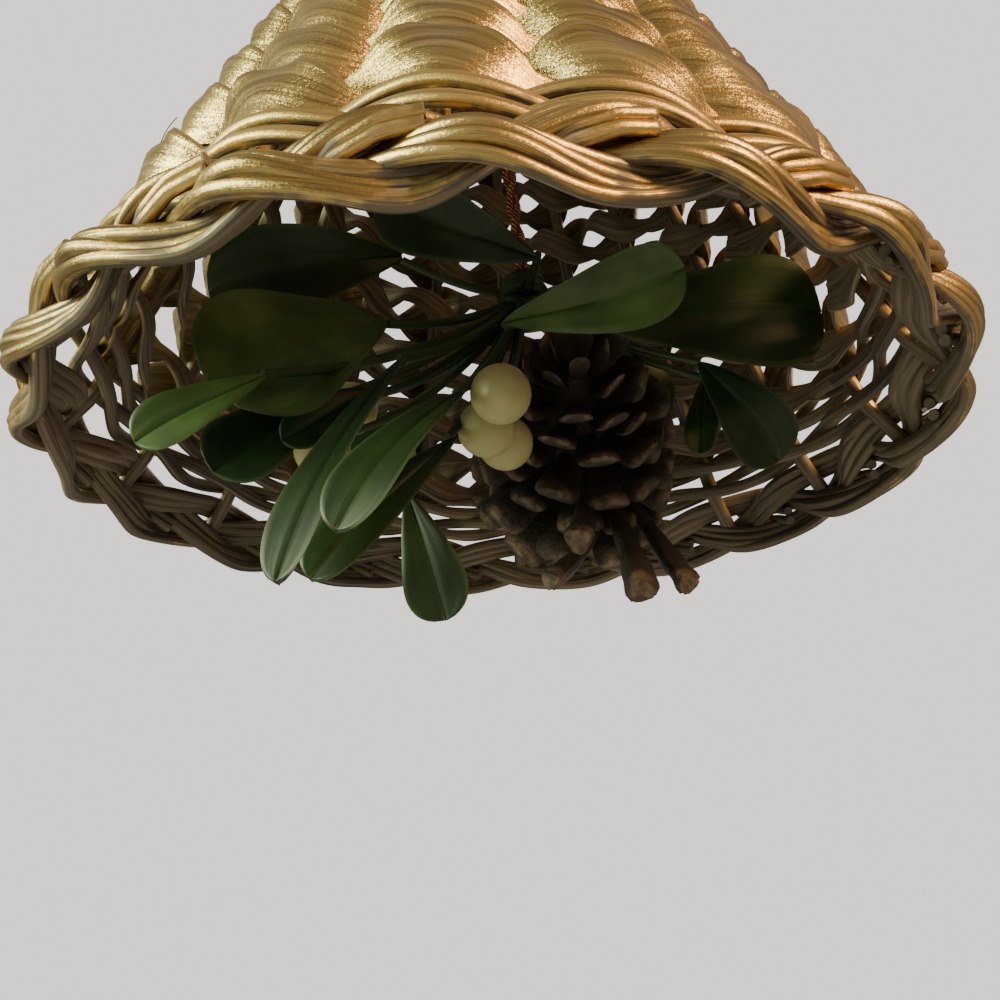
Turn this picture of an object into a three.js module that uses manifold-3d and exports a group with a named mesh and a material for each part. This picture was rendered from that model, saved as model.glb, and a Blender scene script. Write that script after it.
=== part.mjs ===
// Wicker bell ornament, in millimetres, +Z up.
// A hanging bell of gold-painted cane: upright stakes, eight courses of two wide flat strips
// twined round them, two fine twined rows, a plaited border round the mouth and a coiled crown
// with a cane loop. A cord through the crown holds a spray of plastic mistletoe and a pine cone.
// The origin is where the loop hangs on its hook. Heights below are above the mouth plane.
import * as THREE from 'three';
import { mergeVertices } from 'three/addons/utils/BufferGeometryUtils.js';
import Module from 'manifold-3d';

const wasm = await Module();
wasm.setup();

// Clearance that touching pieces keep
const gap = 0.3;

// Wall of the bell, measured on the middle line of the stakes
const mouthDiameter = 165;
const footInset = 4.6;
const shoulderDiameter = 58;
const shoulderHeight = 121;
const flankHollow = 1.8;
const domeRadius = 22;
const weaveTurn = THREE.MathUtils.degToRad(6);

// Upright stakes of split cane
const stakePairs = 9;
const stakeWidth = 3.2;
const stakeTopWidth = 2.2;
const stakeThickness = 2.2;
const crownHoleDiameter = 17;

// Plaited border round the mouth
const borderHeight = 13.6;
const plaitRepeats = 6;
const plaitTurn = THREE.MathUtils.degToRad(-3);
const plaitBundleWidth = 4.2;
const plaitBundleThickness = 3.8;

// Fine twined rows above the border
const fineRowCount = 2;
const fineRowPitch = 5.6;
const fineCaneWidth = 2.6;
const fineCaneThickness = 2.8;

// Wide twined courses, as many as the wall has room for below the crown
const coursePitch = 13.6;
const stripWidth = 12.8;
const pinchedStripWidth = 3.8;
const stripThickness = 1.1;
const stripTurn = THREE.MathUtils.degToRad(50);
const stripSlack = 0.3;
const stripParting = 1.2;

// Crown of coiled rows over the gathered stakes
const crownReach = 25;
const crownRows = 3;
const crownSeat = 0.9;
const crownThickness = 2.4;
const crownRidge = 1;
const crownFacets = 18;

// Hanging loop of cane
const loopWidth = 18;
const loopRise = 20;
const loopCane = 3.6;

// Cord that holds the spray
const cordThickness = 3;

// Spray of mistletoe, in shares of its reach from the axis of the bell
const sprayClearance = 16;
const leafThickness = 0.9;
const twigThickness = 2;
const tieDiameter = 11;
const berryShare = 0.158;

// Pine cone, its length and width in shares of the reach of the spray
const coneLengthShare = 0.695;
const coneWidthShare = 0.743;
const coneScaleCount = 34;
const coneScaleThickness = 2.6;

// Wall line

const stakeCount = 2 * stakePairs;
const footHeight = borderHeight / 2;
const foot = new THREE.Vector2(mouthDiameter / 2 - footInset, footHeight);
const shoulder = new THREE.Vector2(shoulderDiameter / 2, shoulderHeight);
const flankControl = foot.clone().lerp(shoulder, 0.5);
flankControl.x -= 2 * flankHollow;
const flank = new THREE.QuadraticBezierCurve(foot, flankControl, shoulder);
const shoulderRun = shoulder.clone().sub(flankControl);
const shoulderLean = Math.atan2(-shoulderRun.x, shoulderRun.y);
const domeCentre = new THREE.Vector2(
  shoulder.x - domeRadius * Math.cos(shoulderLean),
  shoulder.y - domeRadius * Math.sin(shoulderLean),
);
const dome = new THREE.EllipseCurve(
  domeCentre.x, domeCentre.y, domeRadius, domeRadius, shoulderLean, Math.PI / 2, false,
);
const wall = new THREE.CurvePath();
wall.add(flank);
wall.add(dome);
const wallLength = wall.getLength();
const domeTopHeight = domeCentre.y + domeRadius;

// A point at a distance up the wall from the border's middle and at an angle round the bell,
// moved out from the wall and along it.
function wallPoint(distance, angle, out, along) {
  const share = THREE.MathUtils.clamp(distance / wallLength, 0, 1);
  const point = wall.getPoint(share);
  const rise = wall.getTangent(share);
  const radius = point.x + rise.y * out + rise.x * along;
  const height = point.y - rise.x * out + rise.y * along;
  return new THREE.Vector3(radius * Math.cos(angle), radius * Math.sin(angle), height);
}

function wallRadius(distance) {
  return wall.getPoint(THREE.MathUtils.clamp(distance / wallLength, 0, 1)).x;
}

// Closed solids from rings of points

function signedVolume(positions, triangles) {
  const corners = [new THREE.Vector3(), new THREE.Vector3(), new THREE.Vector3()];
  let volume = 0;
  for (let i = 0; i < triangles.length; i += 3) {
    corners.forEach((corner, k) => corner.fromArray(positions, 3 * triangles[i + k]));
    volume += corners[0].dot(corners[1].clone().cross(corners[2])) / 6;
  }
  return volume;
}

// Joins rings of points, each as long as the others, into one solid. An open run may begin
// and end in a single point; a ring at its end is closed by a fan. The sides of the section
// listed in crossed have their four-cornered faces creased along the other diagonal.
function loft(rings, closed, crossed = []) {
  const positions = [];
  const starts = [];
  for (const ring of rings) {
    starts.push(positions.length / 3);
    ring.forEach((point) => positions.push(point.x, point.y, point.z));
  }
  const triangles = [];
  const joins = closed ? rings.length : rings.length - 1;
  for (let i = 0; i < joins; i += 1) {
    const j = (i + 1) % rings.length;
    const sides = Math.max(rings[i].length, rings[j].length);
    for (let k = 0; k < sides; k += 1) {
      const next = (k + 1) % sides;
      const a = starts[i] + (rings[i].length === 1 ? 0 : k);
      const b = starts[i] + (rings[i].length === 1 ? 0 : next);
      const c = starts[j] + (rings[j].length === 1 ? 0 : next);
      const d = starts[j] + (rings[j].length === 1 ? 0 : k);
      if (crossed.includes(k)) {
        triangles.push(a, b, d, b, c, d);
        continue;
      }
      if (a !== b) triangles.push(a, b, c);
      if (c !== d) triangles.push(a, c, d);
    }
  }
  if (!closed) {
    const last = rings.length - 1;
    for (let k = 1; k + 1 < rings[0].length; k += 1) {
      triangles.push(starts[0], starts[0] + k + 1, starts[0] + k);
    }
    for (let k = 1; k + 1 < rings[last].length; k += 1) {
      triangles.push(starts[last], starts[last] + k, starts[last] + k + 1);
    }
  }
  if (signedVolume(positions, triangles) < 0) triangles.reverse();
  const geometry = new THREE.BufferGeometry();
  geometry.setAttribute('position', new THREE.Float32BufferAttribute(positions, 3));
  geometry.setIndex(triangles);
  return geometry;
}

function mergedShape(geometry) {
  geometry.deleteAttribute('normal');
  geometry.deleteAttribute('uv');
  return mergeVertices(geometry, 1e-4);
}

function toManifold(geometry) {
  return new wasm.Manifold(new wasm.Mesh({
    numProp: 3,
    vertProperties: new Float32Array(geometry.attributes.position.array),
    triVerts: new Uint32Array(geometry.index.array),
  }));
}

function fused(geometries) {
  const whole = geometries.map(toManifold).reduce((sum, piece) => sum.add(piece));
  const mesh = whole.getMesh();
  const geometry = new THREE.BufferGeometry();
  geometry.setAttribute('position', new THREE.Float32BufferAttribute(mesh.vertProperties, 3));
  geometry.setIndex(Array.from(mesh.triVerts));
  return geometry;
}

// Materials

function finish(colour, roughness, metalness) {
  return new THREE.MeshStandardMaterial({ color: colour, roughness, metalness });
}

const goldCane = finish(0xa88444, 0.42, 0.6);
const darkCane = finish(0x6b5334, 0.55, 0.35);
const cordRed = finish(0x7a2416, 0.4, 0.5);
const leafGreen = finish(0x1f4a1c, 0.35, 0);
const berryIvory = finish(0xd8cf86, 0.3, 0);
const coneBrown = finish(0x3b281b, 0.8, 0);

const bell = new THREE.Group();

function place(name, geometry, material) {
  const mesh = new THREE.Mesh(geometry, material);
  mesh.name = name;
  bell.add(mesh);
}

// Heights up the wall

const borderEdge = borderHeight / 2;
const fineRowReach = fineCaneWidth + gap / 2;
const firstFineRow = borderEdge + gap + fineRowReach;
const lastFineRow = firstFineRow + (fineRowCount - 1) * fineRowPitch;
const firstCourse = lastFineRow + fineRowReach + gap + stripWidth / 2 - fineCaneWidth / 2;
const stakeFoot = borderEdge + gap;

// The distance at which the dome has drawn in to the hole in the crown
function domeDistance(radius) {
  const lean = Math.acos((radius - domeCentre.x) / domeRadius);
  return flank.getLength() + (lean - shoulderLean) * domeRadius;
}

const stakeHead = domeDistance(crownHoleDiameter / 2);
const courseRoom = stakeHead - crownReach - gap - stripWidth / 2 - firstCourse;
const courseCount = 1 + Math.round(courseRoom / coursePitch);
const lastCourse = firstCourse + (courseCount - 1) * coursePitch;
const crownEdge = lastCourse + stripWidth / 2 + gap;

function stakeWidthAt(distance) {
  const share = (distance - stakeFoot) / (stakeHead - stakeFoot);
  return THREE.MathUtils.lerp(stakeWidth, stakeTopWidth, THREE.MathUtils.clamp(share, 0, 1));
}

// Stakes

// Evenly up the flank, then evenly round the dome
const flankLength = flank.getLength();
const { lerp } = THREE.MathUtils;
const flankStations = [0, 1 / 3, 2 / 3, 1].map((share) => lerp(stakeFoot, flankLength, share));
const domeStations = [1 / 3, 2 / 3, 1].map((share) => lerp(flankLength, stakeHead, share));
const stakeStations = [...flankStations, ...domeStations];

function stake(angle) {
  const rings = [];
  for (const distance of stakeStations) {
    const half = stakeWidthAt(distance) / 2;
    const across = new THREE.Vector3(-Math.sin(angle), Math.cos(angle), 0);
    const outer = wallPoint(distance, angle, stakeThickness / 2, 0);
    const inner = wallPoint(distance, angle, -stakeThickness / 2, 0);
    rings.push([
      outer.clone().addScaledVector(across, half),
      outer.clone().addScaledVector(across, -half),
      inner.clone().addScaledVector(across, -half),
      inner.clone().addScaledVector(across, half),
    ]);
  }
  return loft(rings, false);
}

for (let i = 0; i < stakeCount; i += 1) {
  place(`stake_${i + 1}`, stake(weaveTurn + (i * 2 * Math.PI) / stakeCount), darkCane);
}

// Twined strands. A strand runs outside one stake and inside the next, and the two strands of
// a row cross between the stakes, where each is pinched and turned on edge by the other.

function strand(distance, startsInside, size) {
  const halfStep = Math.PI / stakeCount;
  const halfSpacing = wallRadius(distance) * halfStep;
  const turnedIn = (Math.sin(size.turn) * size.pinchedWidth) / 2;
  const cover = stakeWidthAt(distance) / 2 / halfSpacing;
  const stand = stakeThickness / 2 + gap + size.thickness / 2 + size.slack;
  const offset = (stand + cover * turnedIn) / (1 - cover);
  const pinchedHeight = Math.cos(size.turn) * size.pinchedWidth + Math.sin(size.turn) * size.thickness;
  const drop = (pinchedHeight + gap) / 2 + size.parting;
  const rings = [];
  for (let i = 0; i < 2 * stakeCount; i += 1) {
    const phase = (i + (startsInside ? 2 : 0)) * (Math.PI / 2);
    const out = offset * Math.cos(phase);
    const along = -drop * Math.sin(phase);
    const turn = size.turn * Math.sin(phase);
    const width = THREE.MathUtils.lerp(size.pinchedWidth, size.width, Math.abs(Math.cos(phase)));
    const ring = size.corners.map(([edge, face]) => wallPoint(
      distance,
      weaveTurn + i * halfStep,
      out + (edge * width * Math.sin(turn) + face * size.thickness * Math.cos(turn)) / 2,
      along + (edge * width * Math.cos(turn) - face * size.thickness * Math.sin(turn)) / 2,
    ));
    rings.push(ring);
  }
  return loft(rings, true, size.crossedSides);
}

const wideStrip = {
  width: stripWidth,
  pinchedWidth: pinchedStripWidth,
  thickness: stripThickness,
  turn: stripTurn,
  slack: stripSlack,
  parting: stripParting,
  corners: [[1, 1], [1, -1], [-1, -1], [-1, 1]],
  crossedSides: [1],
};

const fineCane = {
  width: fineCaneWidth,
  pinchedWidth: fineCaneWidth,
  thickness: fineCaneThickness,
  turn: 0,
  slack: 0,
  parting: 0,
  corners: [[0, 1], [1, -0.6], [-1, -0.6]],
  crossedSides: [],
};

for (let i = 0; i < fineRowCount; i += 1) {
  const distance = firstFineRow + i * fineRowPitch;
  place(`fine_row_${i + 1}_cane_a`, strand(distance, false, fineCane), darkCane);
  place(`fine_row_${i + 1}_cane_b`, strand(distance, true, fineCane), darkCane);
}

for (let i = 0; i < courseCount; i += 1) {
  const distance = firstCourse + i * coursePitch;
  place(`course_${i + 1}_strip_a`, strand(distance, false, wideStrip), goldCane);
  place(`course_${i + 1}_strip_b`, strand(distance, true, wideStrip), goldCane);
}

// Plaited border: three bundles of cane that swing across the border and over one another.
// The swing in depth lets two bundles a third of a turn apart just clear each other.

const plaitSwing = (borderHeight - plaitBundleWidth) / 2;
const plaitDepth = (plaitBundleThickness + gap) / (2 * Math.sin(Math.PI / 3));

function plaitBundle(start) {
  const steps = 6 * plaitRepeats;
  const rings = [];
  for (let i = 0; i < steps; i += 1) {
    const angle = (i * 2 * Math.PI) / steps;
    const phase = plaitRepeats * angle + start;
    const along = plaitSwing * Math.sin(phase);
    const out = plaitDepth * Math.sin(2 * phase);
    const turn = plaitTurn + angle;
    rings.push([
      wallPoint(0, turn, out + plaitBundleThickness / 2, along),
      wallPoint(0, turn, out, along - plaitBundleWidth / 2),
      wallPoint(0, turn, out - plaitBundleThickness / 2, along),
      wallPoint(0, turn, out, along + plaitBundleWidth / 2),
    ]);
  }
  return loft(rings, true);
}

for (let k = 0; k < 3; k += 1) {
  place(`border_bundle_${k + 1}`, plaitBundle(Math.PI / 6 + (k * 2 * Math.PI) / 3), goldCane);
}

// Crown: a shallow dome of coiled rows that lies on the gathered stakes

const crownUnderside = stakeThickness / 2 + crownSeat;
const crownTopHeight = domeTopHeight + crownUnderside + crownThickness + crownRidge;

function crownProfile() {
  const span = domeDistance(crownHoleDiameter / 2) - crownEdge;
  const outer = [];
  const inner = [];
  const steps = 2 * crownRows;
  for (let i = 0; i <= steps; i += 1) {
    const distance = crownEdge + (span * i) / steps;
    const ridge = i % 2 === 1 ? crownRidge : 0;
    const top = wallPoint(distance, 0, crownUnderside + crownThickness + ridge, 0);
    outer.push(new THREE.Vector2(top.x, top.z));
    if (i % 2 === 0) {
      const under = wallPoint(distance, 0, crownUnderside, 0);
      inner.push(new THREE.Vector2(under.x, under.z));
    }
  }
  const middle = new THREE.Vector2(0, crownTopHeight);
  const middleUnder = new THREE.Vector2(0, domeTopHeight + crownUnderside);
  return [middleUnder, ...inner.reverse(), ...outer, middle];
}

function turned(profile, facets) {
  const geometry = mergedShape(new THREE.LatheGeometry(profile, facets));
  geometry.rotateX(Math.PI / 2);
  const triangles = Array.from(geometry.index.array);
  if (signedVolume(geometry.attributes.position.array, triangles) < 0) triangles.reverse();
  geometry.setIndex(triangles);
  return geometry;
}

place('crown_coil', turned(crownProfile(), crownFacets), goldCane);

// Hanging loop, standing on the crown

const loopFoot = crownTopHeight + gap;
const hangHeight = loopFoot + loopRise;

function caneSection(thickness, sides) {
  const shape = new THREE.Shape();
  for (let k = 0; k < sides; k += 1) {
    const turn = (k * 2 * Math.PI) / sides;
    const x = (thickness / 2) * Math.cos(turn);
    const y = (thickness / 2) * Math.sin(turn);
    if (k === 0) shape.moveTo(x, y);
    else shape.lineTo(x, y);
  }
  return shape;
}

function tube(points, thickness, sides, steps) {
  const path = new THREE.CatmullRomCurve3(points);
  const section = caneSection(thickness, sides);
  return mergedShape(new THREE.ExtrudeGeometry(section, { steps, extrudePath: path }));
}

function hangingLoop() {
  const half = (loopWidth + loopCane) / 2;
  const top = loopRise + loopCane / 2;
  const points = Array.from({ length: 9 }, (_, i) => {
    const turn = (Math.PI * i) / 8;
    return new THREE.Vector3(half * Math.cos(turn), 0, loopFoot + top * Math.sin(turn) ** 0.8);
  });
  return tube(points, loopCane, 6, 16);
}

place('hanging_loop', hangingLoop(), goldCane);

// Spray of mistletoe. Places are shares of the reach: right, back and up from the mouth's centre.

const sprayReach = mouthDiameter / 2 - footInset - sprayClearance;

function sprayPoint([x, y, z]) {
  return new THREE.Vector3(x, y, z).multiplyScalar(sprayReach);
}

const hub = sprayPoint([0.11, 0, 0.6]);

// Each leaf: its base and its tip, its width, the way its face looks and how far it arches
function leaf(base, tip, width, face, arch) {
  return { base, tip, width, face, arch };
}

const leaves = {
  broadLeft: leaf([-0.29, -0.32, 0.32], [-0.71, -0.55, 0.02], 0.41, [0.1, -1, 0.15], 0.06),
  darkUpperLeft: leaf([-0.27, -0.1, 0.69], [-0.85, -0.19, 0.55], 0.28, [0, -0.9, -0.5], 0.1),
  topCentre: leaf([0.15, -0.26, 0.58], [-0.33, -0.32, 0.73], 0.22, [0.1, -0.7, -0.7], 0.08),
  smallLeft: leaf([-0.55, -0.65, -0.01], [-0.81, -0.71, -0.22], 0.13, [0, -1, 0], 0.05),
  lowerLeft: leaf([-0.51, -0.26, 0.11], [-0.73, -0.39, -0.15], 0.2, [0, -1, -0.2], 0.08),
  paleLeft: leaf([-0.3, -0.27, 0.13], [-0.56, -0.39, -0.06], 0.12, [0.3, -1, 0], 0.05),
  longFront: leaf([-0.24, -0.47, 0.12], [-0.48, -0.65, -0.54], 0.16, [-0.5, -1, 0.1], 0.05),
  brightFront: leaf([-0.09, -0.55, -0.03], [-0.34, -0.71, -0.45], 0.17, [-0.2, -1, 0.35], 0.1),
  underFront: leaf([-0.12, -0.4, -0.08], [-0.43, -0.52, -0.5], 0.17, [-0.2, -1, 0.1], 0.05),
  downFront: leaf([-0.22, -0.39, -0.23], [-0.14, -0.36, -0.56], 0.19, [0, -1, 0.1], 0.04),
  rightNear: leaf([0.04, -0.47, 0.21], [0.5, -0.61, 0.28], 0.17, [0, -0.8, -0.6], 0.05),
  largeRight: leaf([0.29, -0.23, 0.35], [0.98, -0.19, 0.39], 0.33, [0, -1, -0.1], 0.05),
  rightLower: leaf([0.65, 0, 0.34], [0.87, 0.1, 0.03], 0.21, [-0.2, -1, 0], 0.08),
  smallRight: leaf([0.66, 0.06, 0.32], [0.63, 0.04, 0.04], 0.1, [0, -1, 0], 0.05),
  backLeft: leaf([-0.27, 0.34, 0.42], [-0.61, 0.72, 0.2], 0.28, [0.4, 0.6, 0.6], 0.08),
  backRight: leaf([0.32, 0.38, 0.64], [0.64, 0.68, 0.48], 0.26, [-0.3, 0.6, 0.7], 0.08),
};

// Half widths of a blade along its length, as shares of half its greatest width
const bladeStations = [[0.1, 0.3], [0.34, 0.82], [0.62, 1], [0.86, 0.7]];

function leafLine({ base, tip, width, face, arch }) {
  const start = sprayPoint(base);
  const run = sprayPoint(tip).sub(start);
  const across = new THREE.Vector3(...face).cross(run).normalize();
  const normal = run.clone().cross(across).normalize();
  const middle = (share) => start.clone()
    .addScaledVector(run, share)
    .addScaledVector(normal, 4 * arch * run.length() * share * (1 - share));
  return { across, normal, middle, half: (width * sprayReach) / 2 };
}

function leafBlade(blade) {
  const { across, normal, middle, half } = leafLine(blade);
  const rings = bladeStations.map(([share, spread]) => {
    const centre = middle(share);
    return [
      centre.clone().addScaledVector(across, half * spread),
      centre.clone().addScaledVector(normal, leafThickness / 2),
      centre.clone().addScaledVector(across, -half * spread),
      centre.clone().addScaledVector(normal, -leafThickness / 2),
    ];
  });
  return loft([[middle(0)], ...rings, [middle(1)]], false);
}

function twig(from, to) {
  const run = to.clone().sub(from).normalize();
  const side = new THREE.Vector3(0.3, 0.4, 0.86).cross(run).normalize();
  const other = run.clone().cross(side);
  const rings = [from, to].map((centre) => [0, 1, 2].map((k) => {
    const turn = (k * 2 * Math.PI) / 3;
    return centre.clone()
      .addScaledVector(side, (twigThickness / 2) * Math.cos(turn))
      .addScaledVector(other, (twigThickness / 2) * Math.sin(turn));
  }));
  return loft(rings, false);
}

// Berries in two clusters of three. Each lies so many berry widths from the middle of its own.
const berryDiameter = berryShare * sprayReach;
const frontCluster = sprayPoint([-0.02, -0.32, -0.02]);
const leftCluster = sprayPoint([-0.42, -0.12, 0.16]);

function berryPoint(cluster, widths) {
  return cluster.clone().addScaledVector(new THREE.Vector3(...widths), berryDiameter);
}

const berries = [
  berryPoint(frontCluster, [0.26, -0.99, 0.13]),
  berryPoint(frontCluster, [0, 0, 0]),
  berryPoint(frontCluster, [0.32, 1.01, 0.19]),
  berryPoint(leftCluster, [-0.38, -0.7, -1.14]),
  berryPoint(leftCluster, [0, 0, 0]),
  berryPoint(leftCluster, [0.63, 1.01, -0.57]),
];

// Where the cord's knot sits on the spray
const knot = hub.clone().add(new THREE.Vector3(0, 0, tieDiameter / 2 + gap + cordThickness / 4));

const tie = mergedShape(new THREE.IcosahedronGeometry(tieDiameter / 2, 0));
tie.translate(...hub.toArray());
const sprayPieces = [tie];
for (const blade of Object.values(leaves)) {
  sprayPieces.push(leafBlade(blade));
  sprayPieces.push(twig(hub, leafLine(blade).middle(bladeStations[0][0])));
}
for (const centre of berries) {
  const pull = hub.clone().sub(centre).normalize();
  sprayPieces.push(twig(hub, centre.clone().addScaledVector(pull, berryDiameter / 2 + gap)));
}
place('mistletoe_sprig', fused(sprayPieces), leafGreen);

berries.forEach((centre, i) => {
  const geometry = mergedShape(new THREE.SphereGeometry(berryDiameter / 2, 8, 6));
  geometry.translate(...centre.toArray());
  place(`berry_${i + 1}`, geometry, berryIvory);
});

// Cord from the crown down to the spray

const cordTop = new THREE.Vector3(0, 0, domeTopHeight + crownUnderside - gap);
const cordPoints = [0, 0.25, 0.5, 0.75, 1].map((share) => cordTop.clone().lerp(knot, share));
place('hanging_cord', tube(cordPoints, cordThickness, 8, 10), cordRed);

// Pine cone: a core with rows of blunt scales set round it by the golden angle. Its tip is level
// with the hindmost front berry, which lies beside it.

const coneLength = coneLengthShare * sprayReach;
const coneDiameter = coneWidthShare * sprayReach;
const coneAxis = new THREE.Vector3(-0.06, -0.96, 0.27).normalize();
const besideBerry = new THREE.Vector3(0.6, 0.25, 0.76).projectOnPlane(coneAxis).normalize();
const coneCentre = berries[2].clone()
  .addScaledVector(coneAxis, -coneLength / 2)
  .addScaledVector(besideBerry, berryDiameter / 2 + 0.385 * coneDiameter);
const goldenAngle = Math.PI * (3 - Math.sqrt(5));

// A scale at a share of the way up the cone: its root sits in the core and its end is blunt
function coneScale(share, angle) {
  const outward = new THREE.Vector3(Math.cos(angle), Math.sin(angle), 0);
  const across = new THREE.Vector3(-Math.sin(angle), Math.cos(angle), 0);
  const lift = new THREE.Vector3(0, 0, coneScaleThickness / 2);
  const rootReach = 0.16 * coneDiameter * (1 - 0.7 * share);
  const rootLevel = coneLength * (0.82 * share - 0.36);
  const rootHalf = 0.06 * coneDiameter;
  const endReach = (coneDiameter / 2) * Math.sqrt(Math.max(1 - (1.02 * share) ** 2.2, 0.06));
  const endLevel = rootLevel + coneLength * (0.28 * share - 0.12);
  const endHalf = 0.3 * endReach + 1;
  const section = (reach, level, half) => {
    const centre = outward.clone().multiplyScalar(reach).setZ(level);
    return [[1, 1], [-1, 1], [-1, -1], [1, -1]].map(([side, face]) => centre.clone()
      .addScaledVector(across, side * half)
      .addScaledVector(lift, face));
  };
  return loft([section(rootReach, rootLevel, rootHalf), section(endReach, endLevel, endHalf)], false);
}

// Long blunt scales that stick out below. Each runs from a root in the core to its end, both in
// shares of the cone's width from its centre.
const longScales = [
  [[0, 0.04, -0.13], [-0.06, -0.39, -0.61]],
  [[0.09, 0.09, -0.13], [0.19, -0.26, -0.79]],
  [[0.15, 0.09, -0.13], [0.39, -0.17, -0.74]],
  [[0.13, 0.13, -0.17], [-0.17, -0.26, -0.73]],
];

function longScale(ends) {
  const [root, end] = ends.map((shares) => new THREE.Vector3(...shares).multiplyScalar(coneDiameter));
  const run = end.clone().sub(root).normalize();
  const side = new THREE.Vector3(0, 1, 0).cross(run).normalize();
  const other = run.clone().cross(side);
  const section = (centre, half) => [[1, 1], [-1, 1], [-1, -1], [1, -1]].map(([a, b]) => centre
    .clone()
    .addScaledVector(side, a * half)
    .addScaledVector(other, b * half));
  return loft([section(root, 0.03 * coneDiameter), section(end, 0.055 * coneDiameter)], false);
}

function pineCone() {
  const core = turned([
    new THREE.Vector2(0, -0.42 * coneLength),
    new THREE.Vector2(0.25 * coneDiameter, -0.36 * coneLength),
    new THREE.Vector2(0.25 * coneDiameter, 0),
    new THREE.Vector2(0.17 * coneDiameter, 0.32 * coneLength),
    new THREE.Vector2(0, 0.5 * coneLength),
  ], 8);
  const scales = [];
  for (let i = 0; i < coneScaleCount; i += 1) {
    scales.push(coneScale((i + 0.5) / coneScaleCount, i * goldenAngle));
  }
  const upright = new THREE.Vector3(0, 0, 1);
  const body = fused([core, ...scales]);
  body.applyQuaternion(new THREE.Quaternion().setFromUnitVectors(upright, coneAxis));
  const geometry = fused([body, ...longScales.map(longScale)]);
  geometry.translate(...coneCentre.toArray());
  return geometry;
}

place('pine_cone', pineCone(), coneBrown);

// The whole ornament, lowered so that the loop's bearing point is the origin
bell.position.z = -hangHeight;
const ornament = new THREE.Group();
ornament.add(bell);

export default ornament;
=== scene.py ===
import math

import bpy
import numpy as np
from mathutils import Matrix, Vector


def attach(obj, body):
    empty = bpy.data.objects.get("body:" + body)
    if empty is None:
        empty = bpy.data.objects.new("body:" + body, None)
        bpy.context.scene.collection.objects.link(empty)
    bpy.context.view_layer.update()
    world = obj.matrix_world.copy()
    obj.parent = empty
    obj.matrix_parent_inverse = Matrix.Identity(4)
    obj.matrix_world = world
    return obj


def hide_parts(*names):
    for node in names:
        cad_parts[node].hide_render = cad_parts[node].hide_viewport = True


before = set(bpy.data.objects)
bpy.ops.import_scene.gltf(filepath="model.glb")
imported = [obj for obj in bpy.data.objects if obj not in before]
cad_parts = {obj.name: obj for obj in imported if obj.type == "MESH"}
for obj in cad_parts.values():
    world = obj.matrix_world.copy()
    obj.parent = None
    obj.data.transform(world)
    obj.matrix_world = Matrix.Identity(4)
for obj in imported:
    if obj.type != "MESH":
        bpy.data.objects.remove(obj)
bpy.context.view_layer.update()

# Camera
# It looks up into the mouth from below and in front, close enough for the near rim to swell.
# Sizes are millimetres above the mouth plane, as for every piece; the hook is HOOK_HEIGHT up.
HOOK_HEIGHT = 161.154
CAMERA_PLACE = (0.54, -174.14, -76.58)
CAMERA_PITCH = math.radians(22.02)
CAMERA_ROLL = math.radians(2.21)
CAMERA_LENS = 36.9


def row_place(x, y, z):
    """A point of the bell in metres in the row frame, whose origin is on the hook."""
    return Vector((x, y, z - HOOK_HEIGHT)) * 0.001


forward = Vector((0, math.cos(CAMERA_PITCH), math.sin(CAMERA_PITCH)))
level_right = Vector((1, 0, 0))
level_up = level_right.cross(forward)
right = level_right * math.cos(CAMERA_ROLL) - level_up * math.sin(CAMERA_ROLL)
up = level_right * math.sin(CAMERA_ROLL) + level_up * math.cos(CAMERA_ROLL)
camera = bpy.data.objects.new("camera", bpy.data.cameras.new("camera"))
bpy.context.scene.collection.objects.link(camera)
camera.matrix_world = Matrix.Translation(row_place(*CAMERA_PLACE)) @ Matrix(
    (right, up, -forward)).transposed().to_4x4()
camera.data.lens = CAMERA_LENS
camera.data.clip_start = 0.005
bpy.context.scene.camera = camera

# Room
# A pale floor well below the hanging bell, a cool window on the left and a warm lamp on the right.
FLOOR_DROP = 0.8
FLOOR_HALF = 4
FLOOR_COLOUR = (0.62, 0.62, 0.61, 1)
ROOM_COLOUR = (0.84, 0.805, 0.775, 1)
ROOM_GLOW = 0.3
BACKDROP_GLOW = 1.6
LAMP_AIM = Vector((0, 0, -0.1))
LAMPS = {
    "window": ((-0.75, -0.4, 0.06), 0.5, 18, (0.9, 1, 0.68)),
    "warm_lamp": ((0.5, -0.5, 0.09), 0.3, 10, (1, 0.61, 0.27)),
    "back_light": ((0.2, 0.9, 0.3), 0.8, 4, (1, 0.97, 0.93)),
}

floor = bpy.data.objects.new("floor", bpy.data.meshes.new("floor"))
bpy.context.scene.collection.objects.link(floor)
floor.data.from_pydata(
    [(side * FLOOR_HALF, end * FLOOR_HALF, -FLOOR_DROP)
     for side, end in ((-1, -1), (1, -1), (1, 1), (-1, 1))], [], [(0, 1, 2, 3)])
floor_paint = bpy.data.materials.new("floor_paint")
floor_paint.use_nodes = True
floor_paint.node_tree.nodes["Principled BSDF"].inputs["Base Color"].default_value = FLOOR_COLOUR
floor_paint.node_tree.nodes["Principled BSDF"].inputs["Roughness"].default_value = 0.85
floor.data.materials.append(floor_paint)

room = bpy.data.worlds.new("room")
room.use_nodes = True
room_light = room.node_tree.nodes["Background"]
room_light.inputs["Color"].default_value = ROOM_COLOUR
seen = room.node_tree.nodes.new("ShaderNodeLightPath").outputs["Is Camera Ray"]
glow = room.node_tree.nodes.new("ShaderNodeMapRange")
glow.inputs["To Min"].default_value = ROOM_GLOW
glow.inputs["To Max"].default_value = BACKDROP_GLOW
room.node_tree.links.new(seen, glow.inputs["Value"])
room.node_tree.links.new(glow.outputs["Result"], room_light.inputs["Strength"])
bpy.context.scene.world = room

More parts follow.
